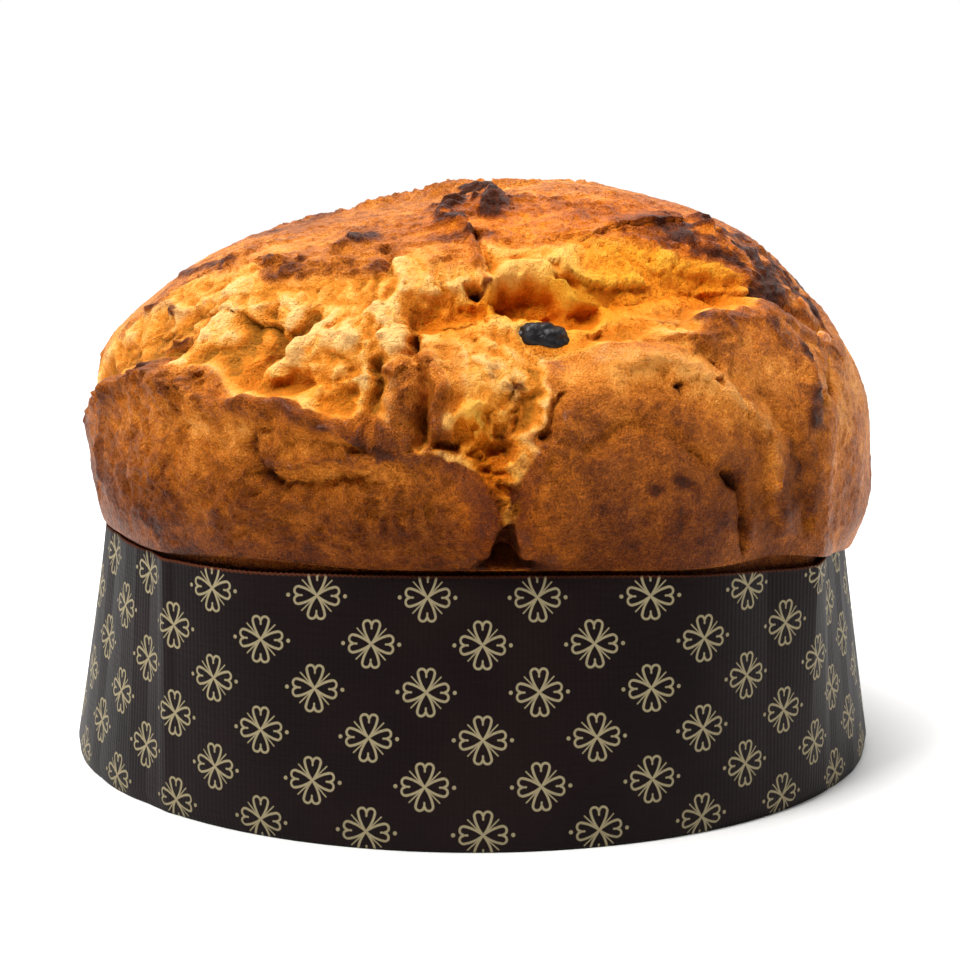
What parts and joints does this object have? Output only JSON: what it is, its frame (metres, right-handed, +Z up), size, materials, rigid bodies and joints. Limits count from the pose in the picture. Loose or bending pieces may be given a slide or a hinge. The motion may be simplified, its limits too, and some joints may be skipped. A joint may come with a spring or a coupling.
{
  "type": "panettone in a paper case",
  "caption": "Low domed sweet loaf, torn open by a cross cut, standing in the printed paper case it was baked in.",
  "frame": {"origin": "centre of the paper case's flat underside", "axes": "+Z up out of the case; the side that the picture shows faces -Y"},
  "size_m": [0.2104, 0.209, 0.1477],
  "materials": {
    "crust": "baked golden-brown crust with pale torn crumb",
    "case_paper": "satin dark brown fluted baking paper",
    "raisin_skin": "wrinkled dark raisin skin",
    "candied_peel": "sticky candied peel"
  },
  "bodies": {
    "root": {"case_wall": "case_paper", "case_base": "case_paper", "loaf": "crust", "raisin": "raisin_skin", "peel_sliver_upper": "candied_peel", "peel_sliver_lower": "candied_peel"}
  },
  "joints": []
}
